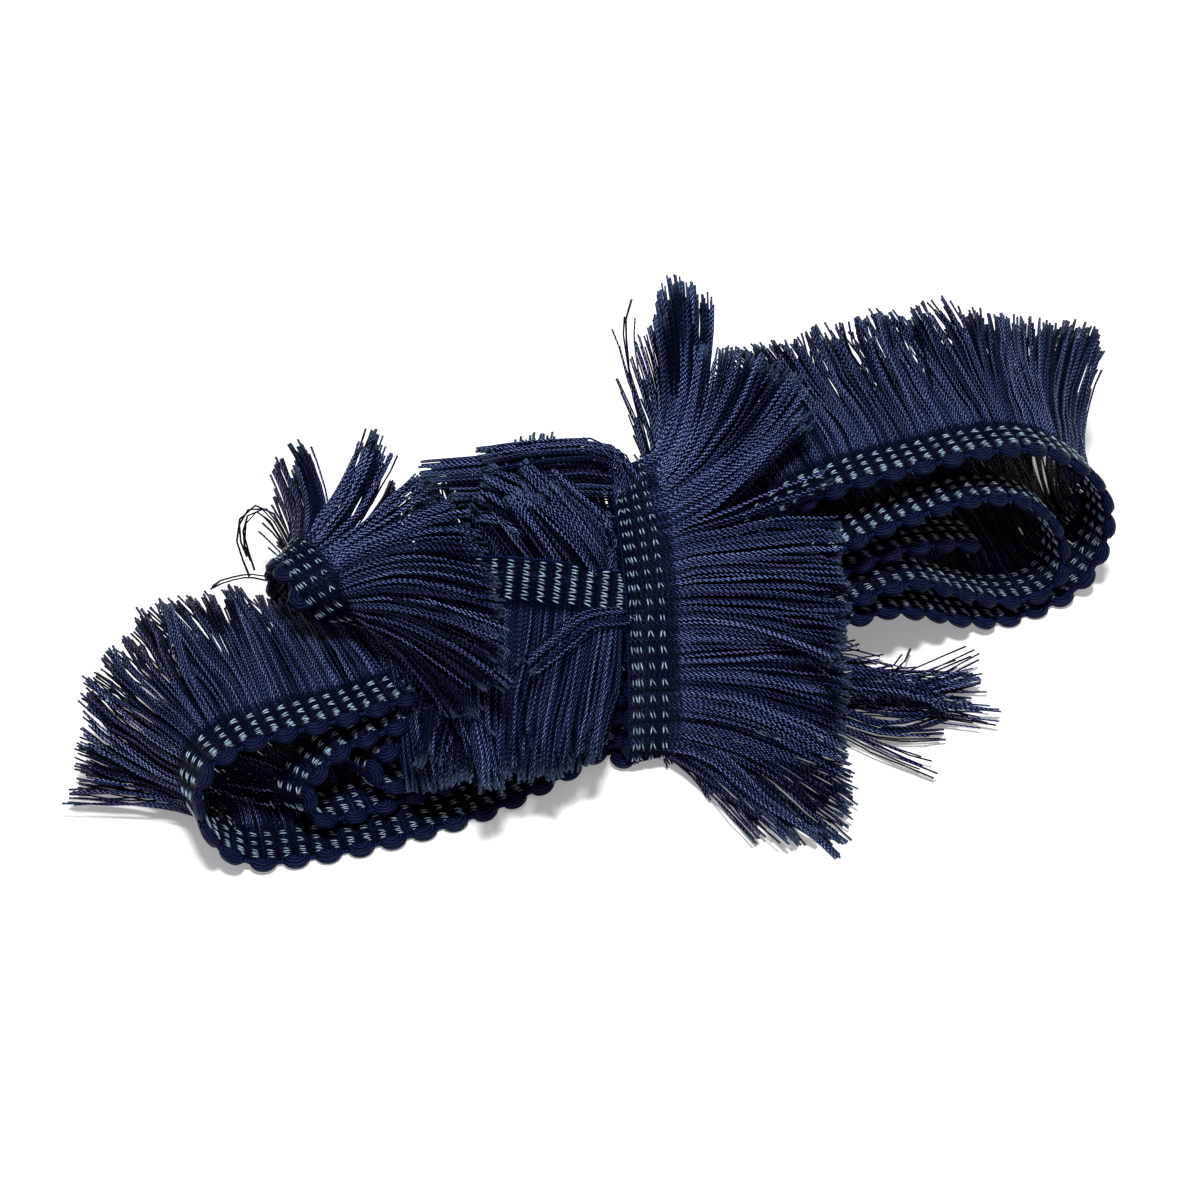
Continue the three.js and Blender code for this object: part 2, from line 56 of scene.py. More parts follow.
# The route of the tape in the order it was wound, one table for each stretch.
# Columns: x, y, z of the heading's middle line; turn and rise of the side the fringe leaves by, in
# degrees; fan, the bearing of a yarn from root to tip; tip, the height of its end; long, of FRINGE.
ROUTE = {
    "core_low": [
        (84, 1, 19, 90, -4, 84, 17, 0.9),
        (74, 0.5, 23, 90, -4, 87, 19, 0.9),
        (62, 0.5, 25, 90, -4, 90, 21, 0.9),
        (48, 0, 23.3, 90, -3, 90, 22, 0.88),
        (33, -2.5, 18.7, 90, -2, 90, 20, 0.84),
        (18, -5, 13.3, 90, 0, 90, 16, 0.8),
        (0, -6, 12.4, 90, 0, 90, 14, 0.8),
        (-15, -6, 11, 90, 0, 90, 11, 0.8),
        (-26, -5.8, 9.9, 90, 0, 90, 9.8, 0.8),
        (-36, -5.4, 8.7, 90, 0, 90, 9, 0.8),
        (-46, -6, 7.8, 90, 0, 90, 8.7, 0.8),
        (-58, -7.4, 7.5, 98, 0, 98, 9.4, 0.8),
        (-66, -8.4, 8.8, 112, 2, 114, 9.2, 0.44),
    ],
    "core_high": [
        (-68.5, -7.6, 11.4, 118, -1, 128, 13.8, 0.38),
        (-65, -5.4, 14.2, 110, -9, 110, 13, 0.55),
        (-52, -3.2, 16, 94, -6, 94, 11.3, 0.8),
        (-32, -2.7, 15.6, 90, -4, 90, 13, 0.8),
        (-15, -3, 15.3, 90, -2, 90, 16.5, 0.8),
    ],
    "right_inner_high": [
        (0, -3.5, 15.4, 90, -1, 90, 19, 0.8),
        (18, -2.5, 16.4, 90, -2, 90, 22, 0.76),
        (34, -1, 26, 90, -5, 90, 29, 0.92),
        (50, 0, 31.8, 90, -6, 90, 33, 1),
        (66, 0, 34.4, 90, -7, 88, 35, 1),
        (80, -0.5, 35, 90, -7, 85, 35, 1),
        (92, -1, 31.3, 90, -6, 77, 32, 1),
        (100, -2, 24, 90, -4, 71, 25, 1),
    ],
    "right_inner_low": [
        (103.8, -3.5, 14.5, 90, -2, 69, 16.5, 1),
        (102.5, -5, 7.8, 90, 0, 72, 10.5, 1),
        (97, -6, 4.8, 90, 0, 83.5, 4.6, 1),
        (87, -6, 6.5, 90, 0, 89, 6.5, 1),
        (76, -6, 12.8, 90, 0, 90, 10, 0.95),
        (65, -5.5, 19.5, 90, 0, 90, 15, 0.9),
        (57, -5.5, 20.7, 90, 0, 90, 16.5, 0.9),
        (45, -6, 19, 90, 0, 90, 17, 0.86),
        (32, -7, 15.3, 90, 0, 90, 14, 0.82),
        (18, -7.3, 10.3, 90, 0, 90, 11, 0.8),
    ],
    "left_inner_low": [
        (0, -7.5, 9.4, 90, 0, 90, 9.5, 0.8),
        (-15, -8, 8, 90, 0, 90, 7.8, 0.8),
        (-26, -8.3, 6.9, 90, 1, 90, 6.9, 0.8),
        (-36, -8.5, 5.6, 90, 3, 90, 6.5, 0.8),
        (-46, -8.7, 4.6, 90, 2, 90, 6.2, 0.82),
        (-60, -9.2, 4.3, 92, 0, 95, 6.2, 0.84),
        (-73, -9.6, 4.4, 102, 0, 108, 5.6, 0.8),
        (-81, -9.8, 6.2, 112, 0, 148, 6.4, 0.42),
    ],
    "left_inner_high": [
        (-84, -8.8, 9.6, 118, -3, 153, 8.4, 0.42),
        (-82, -6.4, 13.8, 114, -9, 124, 13, 0.55),
        (-74, -3.6, 17.6, 102, -8, 104, 14.4, 0.8),
        (-60, -2.2, 19.2, 92, -5, 92, 14, 0.8),
        (-46, -1.2, 19.3, 90, -5, 90, 14.2, 0.8),
        (-30, -0.7, 18.8, 90, -4, 90, 17, 0.8),
        (-15, -0.3, 18.3, 90, -2, 90, 21, 0.8),
    ],
    "right_outer_high": [
        (0, 0, 18.3, 90, 0, 90, 24, 0.64),
        (18, 1.6, 19.2, 90, -2, 90, 26, 0.6),
        (27, 5, 28, 90, -4, 90, 32, 0.62),
        (36, 8, 37.4, 90, -6, 92, 40.5, 0.82),
        (50, 7, 42.6, 90, -7, 92, 46, 0.95),
        (68, 5, 44.2, 90, -7, 90, 50, 0.94),
        (84, 4, 44.2, 90, -7, 86, 48.5, 0.88),
        (97, 3, 41.6, 90, -6, 78, 47.5, 0.86),
        (108, 1.5, 34.6, 90, -5, 66, 39.5, 0.88),
    ],
    "right_outer_low": [
        (115, 0, 25.5, 90, -3, 62, 31, 0.9),
        (116.5, -1.5, 16, 90, -2, 62, 18, 0.88),
        (113.3, -3.5, 7.5, 90, 0, 76, 7, 1),
        (106.5, -5.5, 2.3, 90, 0, 80, 2, 1),
        (97, -6.8, 1.1, 90, 0, 84, 1.2, 1),
        (87, -7, 1.3, 90, 0, 87, 1.4, 1),
        (76, -7, 5.5, 90, 0, 90, 4.5, 0.95),
        (67, -6.8, 10.5, 90, 0, 90, 8.5, 0.92),
        (57, -6.6, 14.6, 90, 0, 90, 11.5, 0.9),
        (45, -6.8, 15.1, 90, 0, 90, 12.5, 0.86),
        (32, -7.5, 11.8, 90, 0, 90, 10.5, 0.82),
        (18, -8, 7.3, 90, 0, 90, 7, 0.8),
    ],
    "left_outer_low": [
        (0, -9, 6.3, 90, 0, 90, 5, 0.8),
        (-15, -12.2, 4.4, 90, 0, 90, 4.8, 0.8),
        (-26, -14.4, 2.8, 90, 1, 90, 5, 0.8),
        (-36, -15.8, 1.7, 90, 1, 90, 4.6, 0.82),
        (-46, -16.8, 1.1, 90, 0, 90, 4.2, 0.8),
        (-60, -17.2, 1.1, 90, 0, 92, 3.4, 0.82),
        (-76, -16, 1.1, 90, 0, 98, 2, 0.95),
        (-88, -14, 1.1, 90, 0, 108, 1.2, 0.95),
        (-96.5, -12.2, 2, 90, 0, 124, 1.2, 0.86),
        (-102.5, -10, 6, 90, 0, 130, 2, 0.8),
    ],
    "left_outer_high": [
        (-105.8, -7.6, 12.5, 90, -1, 132, 5, 0.72),
        (-105.5, -4.5, 19, 90, -3, 123, 15.4, 0.76),
        (-101.5, -2, 23.6, 90, -5, 109, 22, 0.82),
        (-94, -0.8, 25.2, 90, -6, 100, 27, 0.92),
        (-84, -0.6, 25.2, 90, -6, 92, 25, 0.86),
        (-73, -0.4, 24.4, 90, -6, 90, 17.5, 0.76),
        (-60, 0.2, 23.8, 90, -7, 90, 20, 0.82),
        (-46, 1.4, 23.2, 90, -6, 84, 32, 0.94),
        (-30, 3, 22.3, 90, -4, 84, 41, 1),
        (-15, 4.5, 21.5, 90, -2, 84, 42, 1),
    ],
    "binder_turn": [
        (-3, 5, 21.3, 90, 0, 91, 42, 0.86),
        (4.6, 2.4, 21.8, 52, 0, 90, 23, 0.1),
        (8.6, -4.5, 21.7, 12, 0, -30, 22.5, 0.04),
    ],
    "binder_front": [
        (10.4, -9.2, 20.2, 5, 0, -30, 22, 0.1),
        (12.4, -13, 16.8, 1, 0, -30, 20, 0.36),
        (14, -15.6, 13.2, -3, 0, -27, 10, 0.68),
        (15.2, -17.4, 9.4, -6, 0, -20, 3.4, 1),
        (16, -18, 5.4, -8, 0, -14, 1, 1.15),
    ],
    "binder_under": [
        (16.4, -16.4, 2.2, -8, 0, -24, 1, 1.12),
        (16.6, -12, 1.1, -8, 0, -11, 1, 1.12),
        (16.8, 0, 1.1, -6, 0, -4, 1, 0.6),
        (17, 16, 1.1, -5, 0, 2, 1, 0.58),
        (17.2, 32, 1.1, -6, 0, 12, 1, 0.58),
        (17.4, 39.5, 1.8, -7, 0, 36, 1, 0.58),
        (17.4, 43.4, 6, -9, 0, 60, 5, 0.5),
        (16.6, 44.6, 14, -10, 0, 74, 17, 0.45),
    ],
    "wrap_back": [
        (15.4, 43.8, 23, -11, 4, 76, 46, 0.7),
        (13.4, 41.4, 31, -12, 14, 68, 64, 0.95),
        (11.2, 36, 35.2, -14, 20, 44, 60, 1.02),
        (8.2, 27, 36.8, -15, 16, 37, 51.5, 0.92),
    ],
    "wrap_top": [
        (5.4, 17, 36.4, -16, 12, 15, 50, 0.92),
        (2.6, 8, 34.5, -16, 12, -33, 38, 0.85),
        (-0.4, -1, 30.9, -16, 8, -28, 31, 0.87),
    ],
    "wrap_front": [
        (-3.2, -8, 26.2, -17, 2, -29, 26, 0.87),
        (-5.4, -14, 20.1, -17, 0, -32, 17.6, 0.88),
        (-7.2, -18.5, 12.6, -16, 0, -40, 8, 0.9),
        (-8.2, -20.5, 6.5, -14, 0, -64, 2, 0.96),
    ],
    "under": [
        (-8.6, -19, 2.3, -6, 0, -70, 1.5, 0.04),
        (-9.6, -13.5, 1.1, 14, 0, 20, 1, 0.03),
        (-14, -5, 1.1, 34, 0, 60, 1, 0.12),
        (-22, 4.6, 1.1, 44, 0, 76, 1, 0.6),
        (-37, 20, 1.1, 45, 0, 80, 1, 0.7),
        (-52, 35, 1.1, 46, 0, 78, 1, 0.7),
        (-60.5, 42, 1.8, 46, 0, 76, 1, 0.7),
        (-65.8, 46, 6, 45, 0, 80, 6, 0.6),
        (-68, 47, 14, 44, 3, 84, 33, 0.58),
        (-68.6, 45.8, 24, 40, 6, 82, 38, 0.5),
    ],
    "fold": [
        (-68.8, 42.4, 32, 32, 9, 74, 43, 0.5),
        (-68.7, 37, 36.6, 20, 8, 38, 50, 0.64),
        (-68.3, 31, 37.5, 8, 6, 31, 42.5, 0.62),
        (-67.5, 26, 36, -6, 24, -4, 40, 0.8),
        (-65.6, 22.9, 32.3, -34, 36, -34, 37, 0.84),
        (-61.9, 22.4, 28.8, -62, 27, -67, 29.5, 0.86),
    ],
    "tail_bend": [
        (-57, 23.6, 27.3, -73, 6, -80, 27, 0.2),
        (-50, 25.2, 27.9, -88, 2, -92, 27.6, 0.25),
    ],
    "tail": [
        (-41.5, 23, 30.2, -104, 0, -106, 27.5, 0.36),
        (-36.5, 20.4, 32.4, -110, -9, -110, 21.5, 0.92),
        (-32, 18, 33.6, -114, -20, -112, 18.5, 0.94),
        (-17.5, 11, 33, -115, -26, -114, 13, 0.85),
        (-5, 5.2, 30.8, -114, -14, -114, 13, 0.74),
        (1.5, 2.3, 29.4, -113, -4, -114, 12, 0.7),
    ],
}

# Degrees by which the loops curl away from the face that shows, where they do, and how far the tail's
# heading is pulled wide.
CURL = {"wrap_back": 40, "wrap_top": 55, "wrap_front": 55, "tail_bend": -90, "tail": -155}
PULLED = {"tail": 0.22}
# Rows of a stretch after which the fringe parts: its bearing, tip and length change at once.
PARTED = {"wrap_back": [2], "wrap_top": [0], "fold": [0, 1]}

ROWS = np.array([row for stretch in ROUTE.values() for row in stretch], float)
KNOTS = ROWS[:, :3] - BASE
TURN, RISE, FAN, TIP, LONG = ROWS[:, 3:].T
ROW_PARTED = np.array([k in PARTED.get(name, ()) for name, rows in ROUTE.items() for k in range(len(rows))])
PARTING_SLOPE = 12.0


def by_row(values):
    """A stretch's value for each of its rows."""
    return np.array([values.get(name, 0) for name, rows in ROUTE.items() for _ in rows], float)


ROW_CURL, ROW_PULLED = by_row(CURL), by_row(PULLED)


def unit(v):
    return v / np.linalg.norm(v, axis=-1, keepdims=True)


def compass(turn, rise):
    turn, rise = np.radians(turn), np.radians(rise)
    return np.stack([np.cos(turn) * np.cos(rise), np.sin(turn) * np.cos(rise), np.sin(rise)], -1)


def around(knots, t):
    """The four knots round each t from 0 to 1, and how far it is from the second to the third."""
    place = np.clip(t, 0, 1) * (len(knots) - 1)
    i = np.minimum(place.astype(int), len(knots) - 2)
    ends = np.vstack([2 * knots[0] - knots[1], knots, 2 * knots[-1] - knots[-2]])
    return *(ends[i + k] for k in range(4)), (place - i)[:, None]


def route_point(t):
    """Points of the tape's middle line, a centripetal spline through the rows, for t from 0 to 1."""
    a, b, c, d, s = around(KNOTS, t)
    ab, bc, cd = (np.sqrt(np.linalg.norm(q - p, axis=1))[:, None] for p, q in ((a, b), (b, c), (c, d)))
    leave = ((b - a) / ab - (c - a) / (ab + bc) + (c - b) / bc) * bc
    reach = ((c - b) / bc - (d - b) / (bc + cd) + (d - c) / cd) * bc
    second = 3 * c - 3 * b - 2 * leave - reach
    third = 2 * b - 2 * c + leave + reach
    return b + leave * s + second * s**2 + third * s**3


STEPS = np.linspace(0, 1, 4001)
TRACK = route_point(STEPS)
ARC = np.concatenate([[0], np.cumsum(np.linalg.norm(np.diff(TRACK, axis=0), axis=1))])
LENGTH = ARC[-1]
PICKS = round(LENGTH / PICK)
NUDGE = 1e-4


def tape_at(distance):
    """What is known at each distance along the tape: middle, travel, side, face and the fringe's values."""
    t = np.interp(distance, ARC, STEPS)
    place = t * (len(ROWS) - 1)
    i = np.minimum(place.astype(int), len(ROWS) - 2)
    even = place - i
    parted = np.where(ROW_PARTED[i], np.clip((even - 0.5) * PARTING_SLOPE + 0.5, 0, 1), even)

    def mix(values, share):
        return values[i] * (1 - share) + values[i + 1] * share

    def mix_ways(ways, share):
        return ways[i] * (1 - share[:, None]) + ways[i + 1] * share[:, None]

    travel = unit(route_point(t + NUDGE) - route_point(t - NUDGE))
    side = mix_ways(compass(TURN, RISE), even)
    side = unit(side - travel * (side * travel).sum(1, keepdims=True))
    return SimpleNamespace(
        middle=route_point(t),
        travel=travel,
        side=side,
        face=np.cross(travel, side),
        bearing=unit(mix_ways(compass(FAN, 0 * FAN), parted)),
        tip=mix(TIP, parted),
        long=mix(LONG, parted),
        curl=mix(ROW_CURL, even),
        pulled=mix(ROW_PULLED, even),
    )


def across(s, w, n):
    return s.middle + s.side * w + s.face * n


def woven(s, w, n):
    """A place across the heading, which is wider where it is pulled."""
    wide = HEADING_HALF - (HEADING_HALF - w) * (1 + s.pulled)
    return across(s, wide[:, None], n)


def stretch_ends(name):
    """Distances where a stretch of the route begins and ends."""
    names = list(ROUTE)
    first = sum(len(ROUTE[n]) for n in names[: names.index(name)])
    last = min(first + len(ROUTE[name]), len(ROWS) - 1)
    return [float(np.interp(row / (len(ROWS) - 1), STEPS, ARC)) for row in (first, last)]


# Node trees
def operator(operation):
    """Two methods for a wire: an operator and its reflected form."""

    def plain(self, other):
        return self.bench.maths(operation, self, other)

    def reflected(self, other):
        return self.bench.maths(operation, other, self)

    return plain, reflected


class Wire:
    """A socket of a node tree. Arithmetic on it adds Math nodes."""

    __add__, __radd__ = operator("ADD")
    __sub__, __rsub__ = operator("SUBTRACT")
    __mul__, __rmul__ = operator("MULTIPLY")
    __truediv__, __rtruediv__ = operator("DIVIDE")
    __pow__, __rpow__ = operator("POWER")

    def __init__(self, bench, socket):
        self.bench, self.socket = bench, socket

    def __abs__(self):
        return self.bench.maths("ABSOLUTE", self)


class Bench:
    """Adds nodes to a tree: node() makes any node, and the rest are short forms of it."""

    def __init__(self, tree):
        self.tree = tree

    def find(self, sockets, key):
        if isinstance(key, int):
            return sockets[key]
        return next(s for s in sockets if s.enabled and key in (s.identifier, s.name))

    def node(self, kind, settings=None, sockets=None, take=0):
        made = self.tree.nodes.new(kind)
        for name, value in (settings or {}).items():
            setattr(made, name, value)
        for key, value in (sockets or {}).items():
            socket = self.find(made.inputs, key)
            if isinstance(value, Wire):
                self.tree.links.new(value.socket, socket)
            else:
                socket.default_value = value
        return Wire(self, self.find(made.outputs, take)) if made.outputs else made

    def maths(self, operation, *values):
        return self.node("ShaderNodeMath", {"operation": operation}, dict(enumerate(values)))

    def vector(self, operation, *values):
        return self.node("ShaderNodeVectorMath", {"operation": operation}, dict(enumerate(values)))

    def scaled(self, vector, share):
        return self.node("ShaderNodeVectorMath", {"operation": "SCALE"}, {"Vector": vector, "Scale": share})

    def joined(self, x=0.0, y=0.0, z=0.0):
        return self.node("ShaderNodeCombineXYZ", None, {0: x, 1: y, 2: z})

    def part(self, vector, axis):
        return self.node("ShaderNodeSeparateXYZ", None, {0: vector}, axis)

    def ease(self, value, low, high):
        """0 below low and 1 above high, smooth between."""
        sockets = {"Value": value, "From Min": low, "From Max": high, "To Min": 0.0, "To Max": 1.0}
        return self.node("ShaderNodeMapRange", {"interpolation_type": "SMOOTHSTEP"}, sockets)

    def noise(self, vector, scale=1.0, take="Fac"):
        return self.node("ShaderNodeTexNoise", None, {"Vector": vector, "Scale": scale}, take)

    def blend(self, share, a, b):
        """Colour a where share is 0, and b where it is 1."""
        sockets = {"Factor_Float": share, "A_Color": a, "B_Color": b}
        return self.node("ShaderNodeMix", {"data_type": "RGBA"}, sockets, "Result_Color")


class GeometryBench(Bench):
    """A geometry tree with named inputs: its measures and counts, and a seed and material."""

    def __init__(self, name, measures, counts=()):
        super().__init__(bpy.data.node_groups.new(name, "GeometryNodeTree"))
        kinds = {"Geometry": "Geometry"} | dict.fromkeys(measures, "Float")
        kinds |= dict.fromkeys((*counts, "Seed"), "Int") | {"Material": "Material"}
        face = self.tree.interface
        face.new_socket("Geometry", in_out="OUTPUT", socket_type="NodeSocketGeometry")
        for label, kind in kinds.items():
            face.new_socket(label, in_out="INPUT", socket_type="NodeSocket" + kind)
        entry = self.tree.nodes.new("NodeGroupInput")
        self.given = {s.name: Wire(self, s) for s in entry.outputs if s.name}

    def read(self, name, kind="FLOAT"):
        return self.node("GeometryNodeInputNamedAttribute", {"data_type": kind}, {"Name": name})

    def store(self, geometry, name, value, kind="FLOAT", domain="POINT"):
        settings = {"data_type": kind, "domain": domain}
        sockets = {"Geometry": geometry, "Name": name, "Value": value}
        return self.node("GeometryNodeStoreNamedAttribute", settings, sockets)

    def draw(self, low, high, seed):
        """A random number for each element."""
        index = self.node("GeometryNodeInputIndex")
        sockets = {"Min_001": low, "Max_001": high, "ID": index, "Seed": seed}
        return self.node("FunctionNodeRandomValue", {"data_type": "FLOAT"}, sockets, "Value_001")

    def tube(self, curve, radius, sides, scale):
        """A closed tube on a curve, with its place around the yarn kept as ring."""
        sockets = {"Resolution": sides, "Radius": radius}
        circle = self.node("GeometryNodeCurvePrimitiveCircle", None, sockets)
        position = self.node("GeometryNodeInputPosition")
        circle = self.store(circle, "ring", self.vector("NORMALIZE", position), "FLOAT_VECTOR")
        sockets = {"Curve": curve, "Profile Curve": circle, "Scale": scale, "Fill Caps": True}
        return self.node("GeometryNodeCurveToMesh", None, sockets)

    def placed(self, form, size, seed):
        """Copies of a form on the guide's points, turned by their way and up, each with its own tone."""
        points = self.node("GeometryNodeMeshToPoints", None, {"Mesh": self.given["Geometry"]})
        points = self.store(points, "tone", self.draw(0.0, 1.0, seed))
        way, up = (self.read(name, "FLOAT_VECTOR") for name in ("way", "up"))
        settings = {"primary_axis": "X", "secondary_axis": "Z"}
        axes = {"Primary Axis": way, "Secondary Axis": up}
        turn = self.node("FunctionNodeAxesToRotation", settings, axes)
        sockets = {"Points": points, "Instance": form, "Rotation": turn, "Scale": size}
        copies = self.node("GeometryNodeInstanceOnPoints", None, sockets)
        return self.node("GeometryNodeRealizeInstances", None, {"Geometry": copies})

    def on_floor(self, geometry, least):
        """Raises what lies lower than the least height to that height."""
        place = self.node("GeometryNodeInputPosition")
        height = self.maths("MAXIMUM", self.part(place, 2), least)
        raised = self.joined(self.part(place, 0), self.part(place, 1), height)
        return self.node("GeometryNodeSetPosition", None, {"Geometry": geometry, "Position": raised})

    def deliver(self, geometry, material):
        """The tree's end: instances made real, smooth faces, and the material."""
        geometry = self.node("GeometryNodeRealizeInstances", None, {"Geometry": geometry})
        geometry = self.node("GeometryNodeSetShadeSmooth", None, {"Geometry": geometry})
        geometry = self.node("GeometryNodeSetMaterial", None, {"Geometry": geometry, "Material": material})
        out = self.tree.nodes.new("NodeGroupOutput")
        self.tree.links.new(geometry.socket, out.inputs[0])
        return self.tree


KEPT_ATTRIBUTES = {"position", "ring", "along", "free", "tone", "material_index", "sharp_face", "UVMap"}


def guide_mesh(name, points, lines, attributes):
    """Loose points, joined into lines where lines are given, with the named values on each point."""
    mesh = bpy.data.meshes.new(name)
    mesh.from_pydata((points * MM).tolist(), lines, [])
    for label, values in attributes.items():
        values = np.asarray(values, float)
        kind, field = ("FLOAT_VECTOR", "vector") if values.ndim == 2 else ("FLOAT", "value")
        mesh.attributes.new(label, kind, "POINT").data.foreach_set(field, values.ravel())
    return mesh


def show(name, mesh):
    piece = bpy.data.objects.new(name, mesh)
    bpy.context.scene.collection.objects.link(piece)
    return piece


def grown(name, mesh, tree, values):
    """Runs a tree on a mesh of guides, and returns what comes out as a plain mesh piece."""
    guide = show(name + "_guides", mesh)
    modifier = guide.modifiers.new("grow", "NODES")
    modifier.node_group = tree
    for item in tree.interface.items_tree:
        if item.in_out == "INPUT" and item.name in values:
            modifier[item.identifier] = values[item.name]
    depsgraph = bpy.context.evaluated_depsgraph_get()
    made = bpy.data.meshes.new_from_object(guide.evaluated_get(depsgraph), depsgraph=depsgraph)
    guide.modifiers.remove(modifier)
    bpy.data.objects.remove(guide)
    for label in [a.name for a in made.attributes if not a.name.startswith(".")]:
        if label not in KEPT_ATTRIBUTES:
            made.attributes.remove(made.attributes[label])
    return show(name, made)


# Finishes
# The navy in painted shade: the colour where the painted light falls to nothing.
NAVY_SHADE = (0.0010, 0.0018, 0.0095, 1)
NAVY = (0.070, 0.114, 0.500, 1)
# Painted highlight colour, mixed in where the painted light is strongest.
NAVY_HIGHLIGHT = (0.450, 0.560, 1.000, 1)
NAVY_PALE = (0.080, 0.125, 0.230, 1)
# The filament in painted shade, at the ends of a leg.
FILAMENT_SHADE = (0.006, 0.013, 0.026, 1)
FILAMENT = (0.56, 0.78, 1.0, 1)
NAVY_GLOSS = (0.46, 0.58, 1.0, 1)
TWIST = 2.4  # millimetres along a yarn for one full turn of its two plies
FULL_TURN = 2 * math.pi
CUT_END = 0.93  # share of a yarn's free length where its frayed end begins
PLY_CROWN = 7.0  # power that narrows the painted highlight on a ply to its crown, leaving painted shade in the groove
LOW_LIGHT, HIGH_LIGHT, LIGHT_POWER = 0.02, 4.6, 3.0  # painted light by a yarn's height: on low yarns, what high ones gain, and how late; low yarns stay in painted shade
TIP_PALE = 0.45
MOTTLE_ALONG, MOTTLE_TONE = 0.09, 60  # how fast the mottle changes along a yarn and from one to another
TWIST_ALONG, TWIST_TONE, TWIST_STRAY = 0.3, 90, 1.5  # and the unevenness of the twist, with its size
SHADED_TO = 0.06  # share of the free length by which a yarn is out of the heading's shade
GLINT = 0.6  # share of the painted highlight navy where the painted light is full
LOOP_STRANDS, LOOP_BEADS = 6, 5
# power that narrows a strand's painted highlight to its crown
STRAND_CROWN = 2.5
PICK_RIBS = 5
FILAMENT_STRANDS = 4
LEG_LIT, LEG_DARK = 0.2, 0.9  # millimetres from a leg's middle where its painted highlight fades and where it is in full painted shade


def set_inputs(node, values):
    for label, value in values.items():
        node.inputs[label].default_value = value


def finish_bench(name, roughness, specular=None):
    """A material with its bench and shader. A yarn has a specular level, and the navy's own gloss."""
    material = bpy.data.materials.new(name)
    material.use_nodes = True
    bench = Bench(material.node_tree)
    shader = next(n for n in material.node_tree.nodes if n.type == "BSDF_PRINCIPLED")
    set_inputs(shader, {"Roughness": roughness})
    if specular is not None:
        set_inputs(shader, {"Specular IOR Level": specular, "Specular Tint": NAVY_GLOSS})
    return material, bench, shader


def attribute(bench, name, take="Fac"):
    return bench.node("ShaderNodeAttribute", {"attribute_name": name}, None, take)


def plies(bench, along, turn_mm):
    """1 on the crown of a ply and 0 in the groove between the two, turning along the yarn."""
    ring = attribute(bench, "ring", "Vector")
    angle = along * (FULL_TURN / turn_mm)
    cosine, sine = bench.maths("COSINE", angle), bench.maths("SINE", angle)
    return abs(bench.part(ring, 0) * cosine + bench.part(ring, 1) * sine)


def ring_angle(bench):
    """The angle round a yarn."""
    ring = attribute(bench, "ring", "Vector")
    return bench.maths("ARCTAN2", bench.part(ring, 1), bench.part(ring, 0))


def dressed(bench, shader, colour, height, distance, strength):
    """Gives the shader its colour, and its relief by a bump of this distance in metres."""
    sockets = {"Height": height, "Distance": distance, "Strength": strength}
    bump = bench.node("ShaderNodeBump", None, sockets)
    bench.tree.links.new(colour.socket, shader.inputs["Base Color"])
    bench.tree.links.new(bump.socket, shader.inputs["Normal"])


def navy_yarn():
    material, bench, shader = finish_bench("navy_yarn", roughness=0.35, specular=0.1)
    along, tone, free = (attribute(bench, n) for n in ("along", "tone", "free"))
    mottle = bench.noise(bench.joined(along * MOTTLE_ALONG, tone * MOTTLE_TONE))
    uneven = bench.noise(bench.joined(along * TWIST_ALONG, tone * TWIST_TONE)) * TWIST_STRAY
    ply = plies(bench, along + uneven, TWIST)
    # Painted shade on the yarn where it lies in the heading, lifting as it leaves.
    loose = bench.ease(free, 0.0, SHADED_TO)
    # Painted light by height: low yarns shaded, high ones lit.
    height_light = LOW_LIGHT + HIGH_LIGHT * tone ** LIGHT_POWER
    # Painted light: a highlight on each ply's crown and shade in its groove, with random mottle, times the
    # painted height light and the painted heading shade.
    light = ply ** PLY_CROWN * (0.2 + 1.6 * mottle) * height_light * (0.1 + 0.9 * loose)
    # From painted shade through the navy to a painted highlight, by the painted light.
    colour = bench.blend(light * light * GLINT, bench.blend(light, NAVY_SHADE, NAVY), NAVY_HIGHLIGHT)
    colour = bench.blend(bench.ease(free, CUT_END, 1.0) * TIP_PALE, colour, NAVY_PALE)
    dressed(bench, shader, colour, ply, distance=0.3 * MM, strength=1.0)
    return material


def loop_yarn():
    material, bench, shader = finish_bench("loop_yarn", roughness=0.45, specular=0.08)
    along, tone = attribute(bench, "along"), attribute(bench, "tone")
    angle = ring_angle(bench)
    strand = abs(bench.maths("SINE", angle * LOOP_STRANDS + along * 0.35 + tone * 6))
    bead = abs(bench.maths("SINE", along * (FULL_TURN / TWIST) + angle * LOOP_BEADS))
    mottle = bench.noise(bench.joined(along * 0.25, angle, tone * 50), 1.5)
    # Painted highlight on the crown of each strand and painted shade in the grooves between strands, with
    # beads and random mottle.
    light = strand ** STRAND_CROWN * (0.2 + 0.8 * bead) * (0.015 + 0.18 * mottle)
    colour = bench.blend(light, NAVY_SHADE, NAVY)
    relief = strand * 0.7 + bead * strand * 0.3
    dressed(bench, shader, colour, relief, distance=0.25 * MM, strength=0.9)
    return material


def ground_cloth():
    material, bench, shader = finish_bench("ground_cloth", roughness=0.8, specular=0.05)
    uv = bench.node("ShaderNodeUVMap", {"uv_map": "UVMap"})
    rib = abs(bench.maths("SINE", bench.part(uv, 1) * (PICK_RIBS * math.pi)))
    bead = abs(bench.maths("SINE", bench.part(uv, 0) * (FULL_TURN / TWIST) + rib))
    # Painted highlight on each rib's crest and painted shade in the grooves between picks; the cloth stays
    # dark overall.
    colour = bench.blend(rib * (0.04 + 0.10 * bead), NAVY_SHADE, NAVY)
    dressed(bench, shader, colour, rib, distance=0.2 * MM, strength=0.8)
    return material


